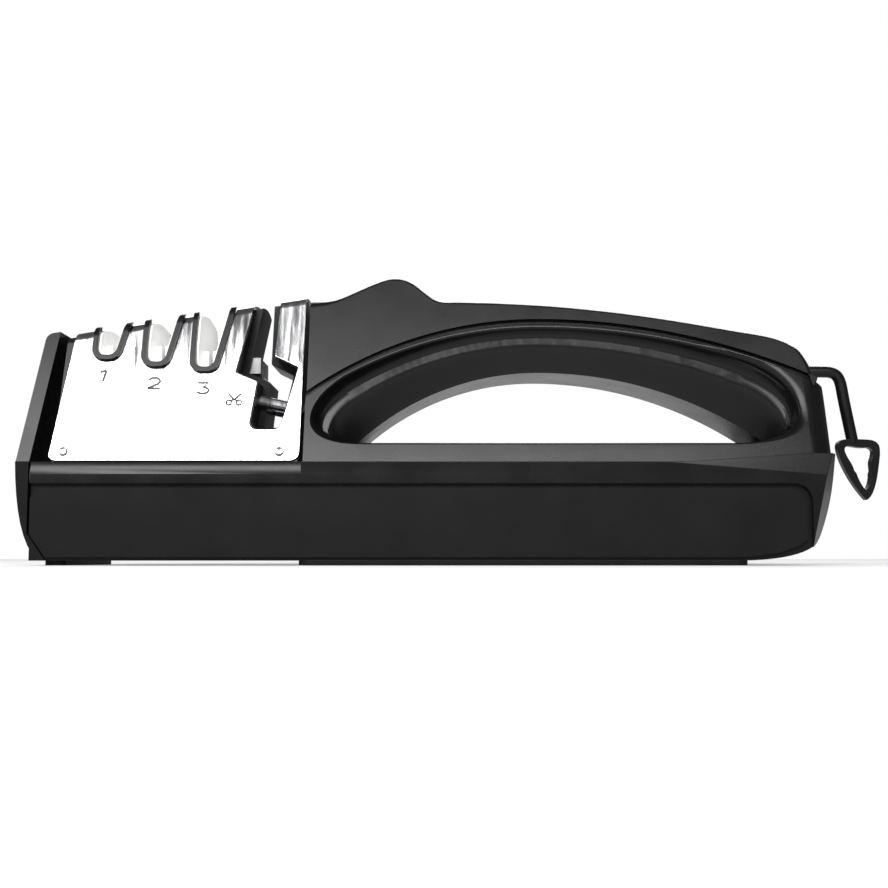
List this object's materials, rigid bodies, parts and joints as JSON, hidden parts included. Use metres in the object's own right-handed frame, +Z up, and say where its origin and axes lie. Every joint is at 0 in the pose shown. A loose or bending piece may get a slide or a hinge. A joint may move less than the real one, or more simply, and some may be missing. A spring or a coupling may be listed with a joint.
{
  "type": "knife and scissors sharpener",
  "caption": "Hand-held sharpener with knife slots and a scissors slot in a steel-faced head, an arched grip over a long base, and a hanging hook at the rear.",
  "frame": {"origin": "on the underside of the sole pad, midway along the body and on its centre plane", "axes": "+Z up, the nose points along -X, the length of the body is along X and the slots are cut along Y"},
  "size_m": [0.2258, 0.05, 0.0787],
  "materials": {
    "black_plastic": "satin moulded",
    "soft_black": "fine matte",
    "gloss_black": "semi gloss",
    "stainless": "brushed",
    "steel": "machined",
    "carbide": "ground",
    "diamond": "fine grit",
    "ceramic": "matte ceramic",
    "white_plastic": "moulded"
  },
  "bodies": {
    "body": {"main_housing": "black_plastic", "nose_cap": "black_plastic", "base_plate": "black_plastic", "grip_cover": "gloss_black", "slot_module": "gloss_black", "module_floor": "gloss_black", "left_side_panel": "soft_black", "right_side_panel": "soft_black", "sole_pad": "soft_black", "front_foot": "soft_black", "plate_screw_1": "steel", "plate_screw_2": "steel", "plate_screw_3": "steel", "plate_screw_4": "steel", "base_screw_1": "steel", "base_screw_2": "steel", "base_screw_3": "steel", "base_screw_4": "steel", "scissor_rod_1": "steel", "scissor_rod_2": "steel", "scissor_guide": "steel", "hook_pin": "steel", "cover_plate": "stainless", "carbide_holder": "white_plastic", "diamond_holder": "white_plastic", "ceramic_holder": "white_plastic", "carbide_blade_1": "carbide", "carbide_blade_2": "carbide", "diamond_rod_1": "diamond", "diamond_rod_2": "diamond", "ceramic_rod_1": "ceramic", "ceramic_rod_2": "ceramic"},
    "hook": {"hanging_hook": "gloss_black"}
  },
  "joints": [
    {"name": "hook_swing", "type": "hinge", "parent": "body", "child": "hook", "pos_m": [0.0999, 0, 0.0526], "axis": [0, -1, 0], "range_deg": [0, 95]}
  ]
}
